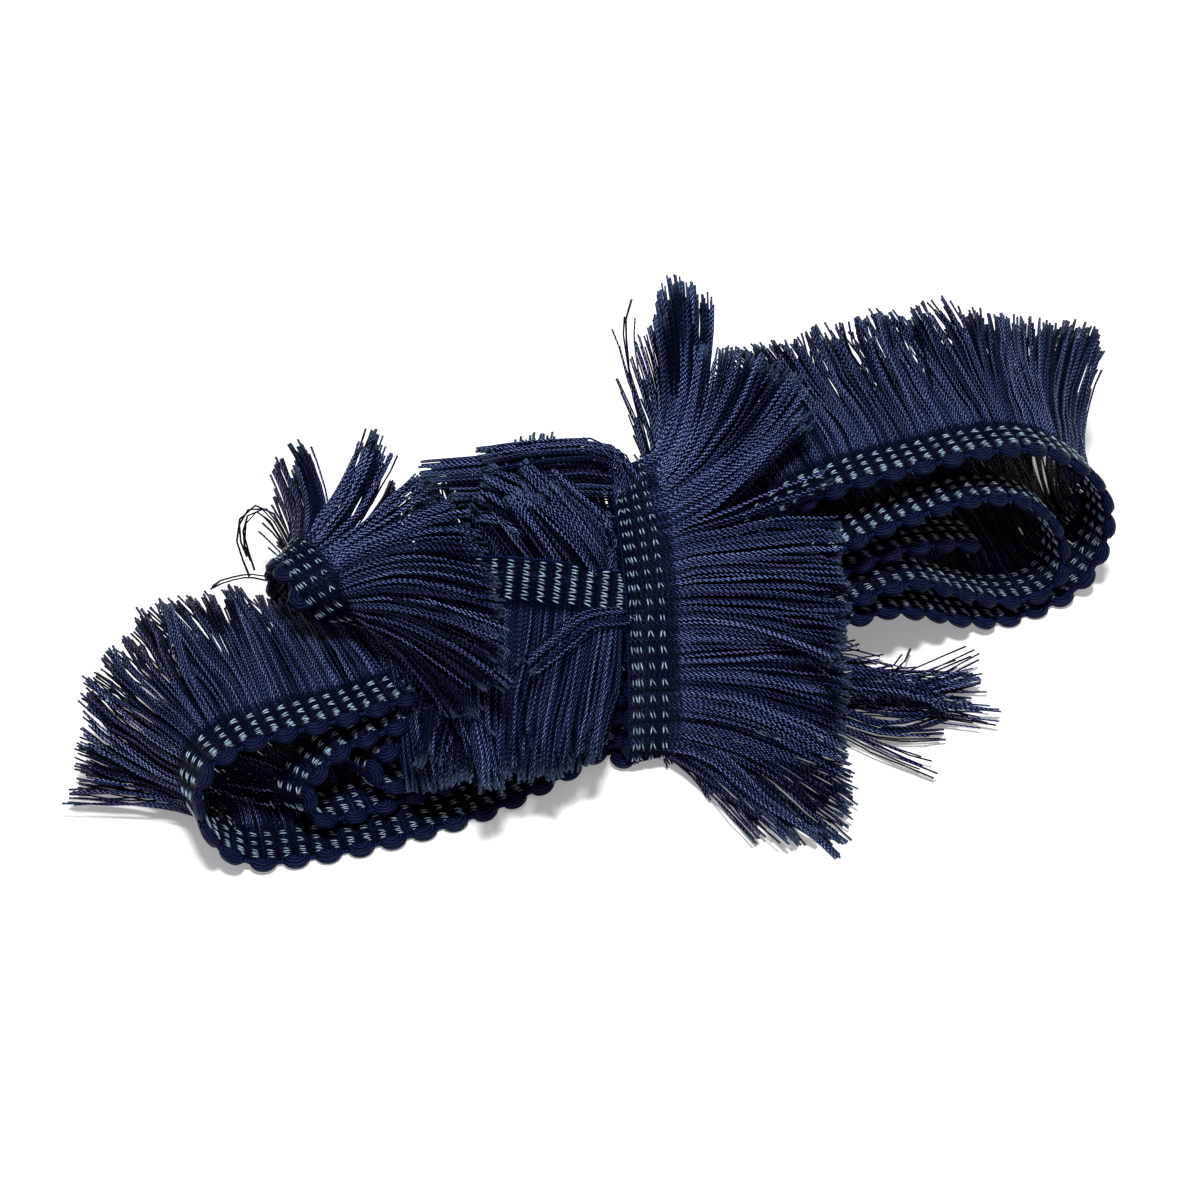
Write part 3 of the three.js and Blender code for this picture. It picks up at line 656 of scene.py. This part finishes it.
def pale_filament():
    material, bench, shader = finish_bench("pale_filament", roughness=0.28, specular=0.8)
    along, tone = attribute(bench, "along"), attribute(bench, "tone")
    strand = abs(bench.maths("SINE", ring_angle(bench) * FILAMENT_STRANDS + along * 3.0))
    # Painted highlight on a leg's crown, fading to painted shade where its ends dip between the picks, with
    # a random tone for each leg.
    crown = 1 - bench.ease(abs(along), LEG_LIT, LEG_DARK)
    light = crown * (0.7 + 0.3 * strand) * (0.4 + 0.6 * tone)
    colour = bench.blend(light, FILAMENT_SHADE, FILAMENT)
    dressed(bench, shader, colour, strand, distance=0.06 * MM, strength=0.6)
    return material


# Fringe: yarns that cross the heading as its weft and go on as cut fringe
WEFT_STARTS = (-3.0, -1.0, 1.0, 3.0, 5.2)  # places across the heading, from the loops to the fringe
FREE_STEPS = np.linspace(0, 1, 10)
LOOSE_STEPS = np.linspace(0, 1, 14)
YARN_RADIUS = 0.25
GUIDES = 3  # lines for each pick and face
FAN_STRAY, TIP_STRAY, LONG_STRAY = 7.5, 2.8, 0.08  # degrees, millimetres and share off their rows
STRAY_MOST = 1.8  # times those that a line may stray
STRAY_REACH = 6.0  # millimetres along the tape over which they stay alike
WIDEST = 5.0  # times that a line's yarns may spread towards their tips
MOST = 1.8  # times as many yarns as elsewhere where a line spreads widely
STEEPEST = 0.95  # share of a line's length that may go into its rise or drop
LOCK_DEPTH = 2.6  # from the lowest yarn of a face to its highest
UNEVEN = 0.12  # share of a yarn that its cut may take off
SWAY, FLICK = 5.5, 2.8  # how far groups of yarns, and single ones, leave their line
CLUMP, GATHER = 5.0, 1.6  # width of a lock, and how far its tips close up
YARN_STEPS, YARN_SIDES = 10, 4
LANE_LEAST, LANE_MOST = 0.1, 0.9  # where in its own lane a yarn may lie
OVERLAP = 1.1  # times its lanes' width that a line's yarns cover
LIFT_SHADING, TONE_DRAW = 0.7, 0.3  # share of a yarn's tone from its height, as painted shade on low yarns and painted light on high ones, and share from a random draw
SWAY_ALONG, SWAY_FREE = 0.07, 0.8  # how fast the sway changes along the tape and along a yarn
WISP_ALONG, WISP_FREE = 0.45, 1.3  # and how fast wisps do
OWN_TONE, OWN_FREE, OWN_ALONG = 97, 2, 0.01  # and single yarns, by their tone too
SWAY_SEED, WISP_SEED, WARP_SEED = 3.7, 2.1, 1.3  # steps that keep the pieces' noises apart
WARP_ALONG, WARP = 0.11, 2.5  # how fast the locks' widths change along the tape, and how much
SWAY_UP, OWN_UP, WISP_OUT, WISP_UP = 0.6, 0.15, 1.3, 0.8  # shares of those that go up, and sideways
LOOSENED, GATHERED = 1.4, 3  # powers by which yarns stray and locks close up late, near the tip
BOUND_TO = 0.18  # share of the free length by which a yarn has left the heading's ribs
RIB_LOW, RIB_HIGH = 0.25, 0.45  # a yarn's height in a groove of the heading, and what a rib adds
FRAYED = 0.25  # share that a cut end is thicker
TONE_SHIFT = 20  # millimetres by which the twist of two yarns may be out of step
RESTING = 1.3  # radii from the floor to the middle of a yarn that lies on it
FIRST_SEED, SEED_STEP = 100, 10
LOOP_SEED, STITCH_SEED, SLANT_SEED = 11, 21, 5
NEARLY_UP = np.array([0.05, 0.02, 1.0])  # so that an upright line still has a side


def fringe_tree():
    measures = ("Yarn radius", "Depth", "Uneven", "Sway", "Flick", "Clump", "Gather")
    g = GeometryBench("fringe_yarns", measures, counts=("Steps",))
    have = g.given
    yarns = g.node("GeometryNodeMeshToCurve", None, {"Mesh": have["Geometry"]})
    copies = {"Geometry": yarns, "Amount": g.read("yarns")}
    yarns = g.node("GeometryNodeDuplicateElements", {"domain": "SPLINE"}, copies)
    number = Wire(g, yarns.socket.node.outputs["Duplicate Index"])
    lane = (number + g.draw(LANE_LEAST, LANE_MOST, have["Seed"])) / g.read("yarns") - 0.5
    yarns = g.store(yarns, "spread_draw", lane, domain="CURVE")
    for step, label in enumerate(("lift_draw", "cut_draw")):
        yarns = g.store(yarns, label, g.draw(0.0, 1.0, have["Seed"] + 1 + step), domain="CURVE")
    # A yarn's tone: its height paints shade on low yarns and light on high ones, and a random draw adds
    # tone of its own.
    tone = g.read("lift_draw") * LIFT_SHADING + g.draw(0.0, TONE_DRAW, have["Seed"] + 3)
    yarns = g.store(yarns, "tone", tone, domain="CURVE")
    cut = g.read("cut_draw")
    yarns = g.node("GeometryNodeTrimCurve", None, {"Curve": yarns, "End": 1 - have["Uneven"] * cut * cut})
    yarns = g.node("GeometryNodeResampleCurve", None, {"Curve": yarns, "Count": have["Steps"]})
    spread, lift, tone = g.read("spread_draw"), g.read("lift_draw"), g.read("tone")
    free, root = g.read("free"), g.read("root")
    sway_at = g.joined(root * SWAY_ALONG, free * SWAY_FREE, have["Seed"] * SWAY_SEED)
    group = g.noise(sway_at, take="Color")
    own = g.noise(g.joined(tone * OWN_TONE, free * OWN_FREE, root * OWN_ALONG), take="Color")
    wisp_at = g.joined(root * WISP_ALONG + spread * 0.5, free * WISP_FREE, have["Seed"] * WISP_SEED)
    wisp = g.noise(wisp_at, take="Color")
    loose = free ** LOOSENED
    sway, flick = have["Sway"] * loose * 2, have["Flick"] * loose * 2
    place = root + spread * (PICK / GUIDES)
    warp = g.noise(g.joined(place * WARP_ALONG, have["Seed"] * WARP_SEED))
    lock = g.maths("FRACT", place / have["Clump"] + warp * WARP) - 0.5
    sideways = spread * g.read("wide") * OVERLAP - lock * have["Gather"] * free ** GATHERED
    sideways = sideways + (g.part(group, 0) - 0.5) * sway + (g.part(own, 0) - 0.5) * flick
    sideways = sideways + (g.part(wisp, 0) - 0.5) * flick * WISP_OUT
    pick = g.maths("FRACT", place * (PICKS / LENGTH)) * 2 - 1
    crest = (1 - pick * pick) ** 0.5
    bound = 1 - g.ease(free, 0.0, BOUND_TO)
    raised = (RIB_LOW * MM + RIB_HIGH * MM * crest) * bound + lift * have["Depth"] * (1 - bound)
    raised = raised + (g.part(group, 1) - 0.5) * sway * SWAY_UP + (g.part(own, 1) - 0.5) * flick * OWN_UP
    raised = raised + (g.part(wisp, 1) - 0.5) * flick * WISP_UP
    offset = g.vector(
        "ADD",
        g.scaled(g.read("spread_way", "FLOAT_VECTOR"), sideways),
        g.scaled(g.read("lift_way", "FLOAT_VECTOR"), raised),
    )
    yarns = g.node("GeometryNodeSetPosition", None, {"Geometry": yarns, "Offset": offset})
    yarns = g.on_floor(yarns, have["Yarn radius"] * RESTING)
    travelled = g.node("GeometryNodeSplineParameter", None, None, "Length")
    yarns = g.store(yarns, "along", travelled / MM + tone * TONE_SHIFT)
    splay = 1 + FRAYED * g.ease(free, CUT_END, 1.0)
    return g.deliver(g.tube(yarns, have["Yarn radius"], YARN_SIDES, splay), have["Material"])


# Locks that have left the rest. Columns: stretch and share of it at the root, two places on the way and
# the tip in the route's coordinates, yarns, and millimetres they spread.
LOOSE = [
    ("binder_front", 0.75, (40, -18, 4), (52, -24.5, 2), (72, -26, 1.2), 34, 5.0),
    ("binder_front", 0.8, (41, -18, 4), (54, -22.5, 2), (75, -20.5, 1.5), 8, 4.0),
    ("binder_front", 0.95, (38, -22, 3), (50, -30, 1.5), (66, -32.5, 1), 10, 3.0),
    ("binder_under", 0.02, (36, -24, 3), (46, -33, 1.5), (61.5, -33.5, 1), 14, 3.0),
    ("binder_under", 0.03, (34, -25, 3), (44, -34, 1.5), (57.5, -39, 1), 9, 3.0),
    ("binder_under", 0.04, (32, -26, 2.5), (41, -36, 1.2), (51.5, -48.5, 1), 7, 2.5),
    ("binder_under", 0.05, (47, -15, 3), (54, -18, 3), (61.5, -10, 2), 2, 2.0),
    ("wrap_front", 0.97, (4, -32, 3), (7.5, -42, 1.5), (10.5, -56.5, 1), 16, 5.0),
    ("under", 0.01, (2, -29, 1.5), (5, -38, 1.2), (8, -51, 1), 12, 4.0),
    ("wrap_front", 0.93, (5, -30, 5), (10, -42, 2), (17.5, -57, 1), 14, 4.0),
    ("tail_bend", 0.25, (-53.5, 8, 25.5), (-56, -4.3, 17), (-59.5, -16.5, 9), 22, 5.0),
    ("tail_bend", 0.6, (-50.5, 6, 25.5), (-54, -6, 17.5), (-56.5, -18.5, 10), 28, 5.0),
    ("tail_bend", 0.9, (-47.5, 5.5, 26.2), (-52, -8, 18.5), (-53.5, -19.5, 11), 28, 5.0),
    ("tail", 0.06, (-45.5, 5.1, 26.6), (-50, -8.9, 19), (-50.5, -20, 12), 28, 5.0),
    ("tail", 0.93, (-12.9, -1.7, 29.8), (-19.8, -3.9, 28.8), (-31, -9, 26.5), 9, 7.0),
    ("under", 0.88, (-67.6, 58, 33), (-73, 59, 28), (-73, 54, 19), 4, 3.0),
    ("under", 0.8, (-74, 50, 20), (-80, 45, 25), (-85.4, 40, 28), 2, 3.0),
    ("binder_turn", 0.26, (9, 33.5, 39), (-4.5, 36, 46), (-22.5, 38.5, 47), 40, 8.0),
    ("binder_turn", 0.24, (9, 32, 37), (-8.5, 34.5, 43), (-36, 41, 45), 36, 8.0),
    ("binder_turn", 0.2, (8, 29, 34.5), (-9.5, 31.5, 40), (-31, 37.5, 42.5), 40, 8.0),
    ("binder_turn", 0.14, (5, 23, 31), (-10, 27.5, 35), (-26.5, 32.5, 39), 44, 9.0),
    ("binder_turn", 0.05, (1.5, 19.5, 27.5), (-10, 23.5, 32), (-22, 28, 36), 40, 8.0),
    ("left_outer_high", 0.98, (-1.5, 20, 29), (-10.5, 28, 38.5), (-23, 36.5, 46), 40, 9.0),
    ("left_outer_high", 0.995, (0, 20.5, 30), (-6.5, 27, 39), (-13.5, 36.5, 46.5), 36, 9.0),
    ("left_outer_high", 0.8, (-24, 28.5, 27), (-23.5, 30.5, 34), (-22.5, 35, 42), 44, 10.0),
    ("left_outer_high", 0.95, (-2.5, 19.5, 27.5), (-14.5, 26.5, 36.5), (-26, 34.5, 43), 36, 9.0),
    ("wrap_back", 0.2, (18.6, 47, 46), (17.5, 52, 54), (16.2, 56.8, 60), 2, 3.0),
    ("wrap_back", 0.3, (19, 48, 48), (20, 54, 58), (21.1, 58.3, 66), 3, 3.0),
]

# A sheet of locks above the tail's band: how many, the first one's share and places, the steps from each
# to the next, and the yarns and spread of each.
SHEET_LOCKS = 5
SHEET_SHARE, SHARE_STEP = 0.99, -0.03
SHEET_PLACES = np.array([(-6.5, 13.5, 32), (-9, 18.5, 38), (-13.5, 27.5, 44)])
PLACE_STEP = np.array([-4.7, 3.7, -1])
SHEET_YARNS, SHEET_SPREAD = 40, 9.0
for step in range(SHEET_LOCKS):
    share = SHEET_SHARE + step * SHARE_STEP
    LOOSE.append(("left_outer_high", share, *(SHEET_PLACES + step * PLACE_STEP), SHEET_YARNS, SHEET_SPREAD))


def smooth_line(knots, steps):
    """Points of a curve through the knots, evenly shared between them."""
    a, b, c, d, s = around(np.array(knots, float), steps)
    second = 2 * a - 5 * b + 4 * c - d
    third = 3 * b - a - 3 * c + d
    return b + (c - a) * s / 2 + second * s**2 / 2 + third * s**3 / 2


def loose_guides(stretches):
    """Lines of the loose locks that start on these stretches, with the values of the tree's attributes."""
    made = []
    for stretch, share, near, far, tip, yarns, wide in LOOSE:
        if stretch not in stretches:
            continue
        start, end = stretch_ends(stretch)
        distance = start + share * (end - start)
        s = tape_at(np.array([distance]))
        knots = [across(s, HEADING_HALF, 0)[0], across(s, HEADING_HALF + PART_GAP + STRIP_WIDE, 0)[0]]
        knots += [np.array(place) - BASE for place in (near, far, tip)]
        points = smooth_line(knots, LOOSE_STEPS)
        ahead = unit(np.gradient(points, axis=0))
        spread = unit(np.cross(ahead, NEARLY_UP))
        lift = np.cross(spread, ahead)
        made.append((points, spread, lift, LOOSE_STEPS, distance, yarns, np.full(len(points), wide)))
    return made


def strays(rng, distance, size):
    """Random differences, alike in neighbours."""
    knots = np.arange(distance.min() - STRAY_REACH, distance.max() + 2 * STRAY_REACH, STRAY_REACH)
    drawn = np.clip(rng.normal(size=len(knots)), -STRAY_MOST, STRAY_MOST)
    return np.interp(distance, knots, drawn) * size


def apart(points):
    """The distance from each point to the nearer of its two neighbours."""
    steps = np.linalg.norm(np.diff(points, axis=0), axis=1)
    return np.minimum(np.append(steps, steps[-1]), np.insert(steps, 0, steps[0]))


def fringe_roots(stretches):
    """Distances along the tape where the lines of these stretches start, and the yarns of each line."""
    distance, yarns = [], []
    lines = PICKS * GUIDES
    for stretch, number in stretches.items():
        start, end = stretch_ends(stretch)
        start, end = max(start, FREE_END), min(end, LENGTH - TUCKED)
        distance += [d for d in (np.arange(lines) + 0.5) * LENGTH / lines if start <= d < end]
        yarns += [number / GUIDES] * (len(distance) - len(yarns))
    return np.array(distance), np.array(yarns)


def fringe_ends(s, root, distance, rng):
    """The place each line bows towards as it leaves the heading, and its tip."""
    length = FRINGE * s.long * (1 + strays(rng, distance, LONG_STRAY))
    height = s.tip + strays(rng, distance, TIP_STRAY) * np.minimum(1, s.long)
    drop = np.clip(height - root[:, 2], -STEEPEST * length, STEEPEST * length)
    turned = np.radians(strays(rng, distance, FAN_STRAY)) + np.arctan2(s.bearing[:, 1], s.bearing[:, 0])
    bearing = np.stack([np.cos(turned), np.sin(turned), 0 * turned], 1)
    tip = root + bearing * np.sqrt(length**2 - drop**2)[:, None]
    tip[:, 2] = root[:, 2] + drop
    along = np.maximum(0, (unit(tip - root) * s.side).sum(1))
    bow = root + s.side * (BOW * length * (BOW_LEAST + BOW_GAIN * along))[:, None]
    return bow, tip


def fringe_guides(name, stretches, seed):
    """Lines for each pick and face: across the heading, over its edge, and along the fringe."""
    distance, yarns_each = fringe_roots(stretches)
    count, rng = len(distance), np.random.default_rng(seed)
    s = tape_at(distance)
    root = across(s, HEADING_HALF + PART_GAP + STRIP_WIDE, 0)
    pick = PICK / GUIDES
    made = []
    for face in (1.0, -1.0):
        bow, tip = fringe_ends(s, root, distance, rng)
        columns = [woven(s, w, 0) for w in WEFT_STARTS]
        spread_ways = [s.travel] * len(columns)
        lift_ways = [s.face * face] * len(columns)
        frees = [0.0] * len(columns)
        for t in FREE_STEPS:
            columns.append(root * (1 - t) ** 2 + bow * 2 * t * (1 - t) + tip * t * t)
            ahead = unit((bow - root) * (1 - t) + (tip - bow) * t)
            sidelong = unit(s.travel - ahead * (s.travel * ahead).sum(1, keepdims=True))
            spread_ways.append(sidelong)
            lift_ways.append(np.cross(sidelong, ahead) * face)
            frees.append(t)
        widest = np.clip(apart(tip), pick, WIDEST * pick)
        yarns = np.maximum(1, np.round(yarns_each * np.minimum(widest / pick, MOST)))
        wides = pick + (widest - pick)[:, None] * np.array(frees)
        stacks = [np.stack(rows, 1) for rows in (columns, spread_ways, lift_ways)]
        made += zip(*stacks, [np.array(frees)] * count, distance, yarns, wides)
    made += loose_guides(stretches)
    points, spread_way, lift_way, free, roots, yarns, wides = zip(*made)
    sizes = [len(p) for p in points]
    firsts = np.concatenate([[0], np.cumsum(sizes)])[:-1]
    lines = [(first + k, first + k + 1) for first, size in zip(firsts, sizes) for k in range(size - 1)]
    attributes = {
        "spread_way": np.concatenate(spread_way),
        "lift_way": np.concatenate(lift_way),
        "free": np.concatenate(free),
        "root": np.repeat(roots, sizes),
        "yarns": np.repeat(yarns, sizes),
        "wide": np.concatenate(wides) * MM,
    }
    return guide_mesh(name, np.concatenate(points), lines, attributes)


# Heading: ground cloth, selvedge loops and chain stitches
GROUND_FROM, GROUND_TO = -3.4, 5.6
GROUND_HALF, GROUND_RIB = 0.32, 0.3  # half thickness in a groove, and how far a rib adds to it
GROUND_ACROSS = 7
RIB_STEPS = 4
FLOOR_CLEAR = 0.03  # least height of the heading over the floor


def ground_mesh():
    """The plain woven ribbon, ribbed by its weft bundles, as one closed sheet."""
    count = PICKS * RIB_STEPS + 1
    s = tape_at(np.linspace(0, LENGTH, count))
    phase = np.arange(count) / RIB_STEPS
    half = GROUND_HALF + GROUND_RIB * np.abs(np.sin(math.pi * phase))
    places = np.linspace(GROUND_FROM, GROUND_TO, GROUND_ACROSS)
    ring_places = [(w, 1) for w in places] + [(w, -1) for w in places[::-1]]
    columns = [woven(s, w, (half * f)[:, None]) for w, f in ring_places]
    points = np.stack(columns, 1)
    points[..., 2] = np.maximum(points[..., 2], FLOOR_CLEAR)
    sides = len(ring_places)
    faces = []
    for r in range(count - 1):
        for k in range(sides):
            a, b = r * sides + k, r * sides + (k + 1) % sides
            faces.append((a, b, b + sides, a + sides))
    faces.append(tuple(range(sides - 1, -1, -1)))
    faces.append(tuple((count - 1) * sides + k for k in range(sides)))
    mesh = bpy.data.meshes.new("heading_ground")
    mesh.from_pydata((points.reshape(-1, 3) * MM).tolist(), [], faces)
    uv = mesh.uv_layers.new(name="UVMap")
    corners = np.empty(len(mesh.loops), int)
    mesh.loops.foreach_get("vertex_index", corners)
    wide = np.array([w for w, _ in ring_places])[corners % sides]
    uv.data.foreach_set("uv", np.stack([wide, phase[corners // sides]], 1).ravel())
    mesh.shade_smooth()
    return mesh


STITCH_COLUMNS = (-2.0, -0.7, 1.9, 4.6)  # places across the heading
MORE_COLUMNS = (0.6, 3.2)  # and those that show only where it is pulled wide
PULLED_LEAST = 0.1  # pull from which those show
LEG_APART = 0.74
LEG_LONG = 2.8
LEG_RADIUS = 0.165
LEG_RISE = 1.18  # height over the middle of the tape
LEG_ARCH = 2.8  # radii by which a leg's handle rises, and its ends sink
LEG_STEPS, LEG_SIDES = 3, 3
LEG_LEAST, LEG_MOST = 0.85, 1.12  # sizes that are drawn for a leg
LEG_LEAN = 0.14
PULLED_LEAN = 0.25  # what a heading pulled twice as wide adds to it
LEG_SLANT, SLANT_STRAY = 0.16, 0.14  # how far both legs of a pair lean one way, and differ in it


def stitch_tree():
    g = GeometryBench("chain_stitches", ("Leg length", "Leg radius"))
    have = g.given
    half, arch = have["Leg length"] * 0.5, have["Leg radius"] * LEG_ARCH
    sockets = {
        "Resolution": LEG_STEPS,
        "Start": g.joined(half * -1, 0.0, arch * -1),
        "Middle": g.joined(0.0, 0.0, arch),
        "End": g.joined(half, 0.0, arch * -1),
    }
    leg = g.node("GeometryNodeCurveQuadraticBezier", None, sockets)
    position = g.node("GeometryNodeInputPosition")
    leg = g.store(leg, "along", g.part(position, 0) / MM)
    leg = g.tube(leg, have["Leg radius"], LEG_SIDES, 1.0)
    size = g.draw(LEG_LEAST, LEG_MOST, have["Seed"] + 1)
    legs = g.placed(leg, g.joined(size, size, size), have["Seed"])
    return g.deliver(legs, have["Material"])


def stitch_points(name, face):
    """Two leaning legs for each pick and column, on one face of the heading."""
    s = tape_at((np.arange(PICKS) + 0.5) * LENGTH / PICKS)
    places, ways, ups = [], [], []
    rng = np.random.default_rng(SLANT_SEED)
    for column in STITCH_COLUMNS + MORE_COLUMNS:
        shown = s.pulled > (PULLED_LEAST if column in MORE_COLUMNS else -1)
        lean = LEG_LEAN + s.pulled[:, None] * PULLED_LEAN
        for hand in (-1, 1):
            places.append(woven(s, column + hand * LEG_APART / 2, face * LEG_RISE)[shown])
            slant = rng.normal(LEG_SLANT, SLANT_STRAY, (PICKS, 1))
            ways.append(unit(s.travel + s.side * (hand * lean + slant))[shown])
            ups.append((s.face * face)[shown])
    points = np.concatenate(places)
    points[:, 2] = np.maximum(points[:, 2], RESTING * LEG_RADIUS)
    return guide_mesh(name, points, [], {"way": np.concatenate(ways), "up": np.concatenate(ups)})


LOOP_FOOT = -2.2  # place of a loop's feet across the heading
LOOP_PULL = -2.0  # and of its handles from there
LOOP_HALF = 1.3  # half its span
LOOP_BULGE = 1.38  # times that, from its middle to each handle
LOOP_RADIUS = 1.8
LOOP_STEPS, LOOP_SIDES = 11, 8
LOOP_WIDE, LOOP_THICK = (0.95, 1.03), (0.70, 0.80)  # sizes that are drawn for a loop


def loop_tree():
    g = GeometryBench("selvedge_loops", ("Pull", "Half span", "Radius"))
    have = g.given
    half = have["Half span"]
    sockets = {
        "Resolution": LOOP_STEPS,
        "Start": g.joined(half * -1),
        "Start Handle": g.joined(half * -LOOP_BULGE, have["Pull"]),
        "End Handle": g.joined(half * LOOP_BULGE, have["Pull"]),
        "End": g.joined(half),
    }
    loop = g.node("GeometryNodeCurvePrimitiveBezierSegment", None, sockets)
    loop = g.store(loop, "along", g.node("GeometryNodeSplineParameter", None, None, "Length") / MM)
    loop = g.tube(loop, have["Radius"], LOOP_SIDES, 1.0)
    wide, thick = g.draw(*LOOP_WIDE, have["Seed"] + 1), g.draw(*LOOP_THICK, have["Seed"] + 2)
    loops = g.placed(loop, g.joined(1.0, wide, thick), have["Seed"])
    return g.deliver(g.on_floor(loops, FLOOR_CLEAR * MM), have["Material"])


def loop_points(name):
    """A point for each loop, one for every two picks, turned where the loops curl."""
    count = PICKS // 2
    s = tape_at((np.arange(count) * 2 + 1) * LENGTH / PICKS)
    curl = np.radians(s.curl)[:, None]
    up = s.face * np.cos(curl) - s.side * np.sin(curl)
    return guide_mesh(name, across(s, LOOP_FOOT, 0), [], {"way": s.travel, "up": up})


# Making
yarn, loops_finish, cloth, filament = navy_yarn(), loop_yarn(), ground_cloth(), pale_filament()

ground = show("heading_ground", ground_mesh())
ground.data.materials.append(cloth)
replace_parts(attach(ground, "root"), "heading")

loop_values = {
    "Pull": LOOP_PULL * MM, "Half span": LOOP_HALF * MM, "Radius": LOOP_RADIUS * MM, "Seed": LOOP_SEED,
    "Material": loops_finish,
}
loops = grown("selvedge_loops", loop_points("loop_points"), loop_tree(), loop_values)
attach(loops, "root")

stitches = stitch_tree()
stitch_values = {
    "Leg length": LEG_LONG * MM, "Leg radius": LEG_RADIUS * MM, "Seed": STITCH_SEED, "Material": filament,
}
for name, face in (("stitches_front", 1), ("stitches_back", -1)):
    piece = grown(name, stitch_points(name + "_points", face), stitches, stitch_values)
    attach(piece, "root")

# The stretches each piece covers, with their yarns for each pick and face.
FRINGE_PIECES = {
    "yarns_core": {"core_low": 2, "core_high": 2},
    "yarns_right_inner": {"right_inner_high": 6, "right_inner_low": 5},
    "yarns_left_inner": {"left_inner_low": 4, "left_inner_high": 4},
    "yarns_right_outer": {"right_outer_high": 14, "right_outer_low": 6},
    "yarns_left_outer": {"left_outer_low": 7, "left_outer_high": 13},
    "yarns_binder": {"binder_turn": 14, "binder_front": 3, "binder_under": 3},
    "yarns_wrap": {"wrap_back": 18, "wrap_top": 15, "wrap_front": 17},
    "yarns_under": {"under": 3},
    "yarns_tail": {"fold": 18, "tail_bend": 6, "tail": 12},
}
brush = fringe_tree()
for step, (name, stretches) in enumerate(FRINGE_PIECES.items()):
    seed = FIRST_SEED + SEED_STEP * step
    values = {
        "Yarn radius": YARN_RADIUS * MM, "Depth": LOCK_DEPTH * MM, "Uneven": UNEVEN, "Sway": SWAY * MM,
        "Flick": FLICK * MM, "Clump": CLUMP, "Gather": GATHER * MM, "Steps": YARN_STEPS, "Seed": seed,
        "Material": yarn,
    }
    piece = grown(name, fringe_guides(name + "_lines", stretches, seed), brush, values)
    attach(piece, "root")
    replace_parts(piece, *("fringe_" + stretch for stretch in stretches))

# Floor, light and camera
FLOOR_HALF = 2.0
FLOOR_PALE = (0.93, 0.93, 0.93, 1)
WHITE = (1, 1, 1, 1)
FLOOR_GLOW = 0.25  # light of the floor's own, so that shadows stay faint
STUDIO_LIGHT = 0.25
floor_mesh = bpy.data.meshes.new("floor")
corners = [(x * FLOOR_HALF, y * FLOOR_HALF, 0) for x, y in ((-1, -1), (1, -1), (1, 1), (-1, 1))]
floor_mesh.from_pydata(corners, [], [(0, 1, 2, 3)])
floor = show("floor", floor_mesh)
floor_finish, _, floor_shader = finish_bench("pale_floor", roughness=0.9)
glow = {"Emission Color": WHITE, "Emission Strength": FLOOR_GLOW}
set_inputs(floor_shader, {"Base Color": FLOOR_PALE} | glow)
floor_mesh.materials.append(floor_finish)

world = bpy.data.worlds.new("studio")
world.use_nodes = True
set_inputs(world.node_tree.nodes["Background"], {"Color": WHITE, "Strength": STUDIO_LIGHT})
bpy.context.scene.world = world


def softbox(name, place, aim, size, power):
    lamp = bpy.data.lights.new(name, "AREA")
    lamp.shape, lamp.size, lamp.energy = "DISK", size, power
    box = bpy.data.objects.new(name, lamp)
    box.location = place
    box.rotation_euler = (Vector(aim) - Vector(place)).to_track_quat("-Z", "Y").to_euler()
    bpy.context.scene.collection.objects.link(box)


TARGET = Vector((-20.7, 6.2, 20.0)) * MM
softbox("overhead_softbox", place=(-0.1, -0.25, 1.6), aim=TARGET, size=0.35, power=28)
softbox("front_softbox", place=(-0.5, -0.8, 0.6), aim=TARGET, size=0.4, power=0.5)

BEARING, ELEVATION, DISTANCE = -113, 43, 0.75  # from the target to the camera: degrees and metres
FOCAL_LENGTH, SENSOR_WIDTH = 100, 36  # millimetres
lens = bpy.data.cameras.new("camera")
lens.lens, lens.sensor_width = FOCAL_LENGTH, SENSOR_WIDTH
camera = bpy.data.objects.new("camera", lens)
back = Vector(compass(BEARING, ELEVATION))
camera.location = TARGET + back * DISTANCE
camera.rotation_euler = (-back).to_track_quat("-Z", "Y").to_euler()
bpy.context.scene.collection.objects.link(camera)
bpy.context.scene.camera = camera
bpy.context.scene.view_settings.view_transform = "Standard"
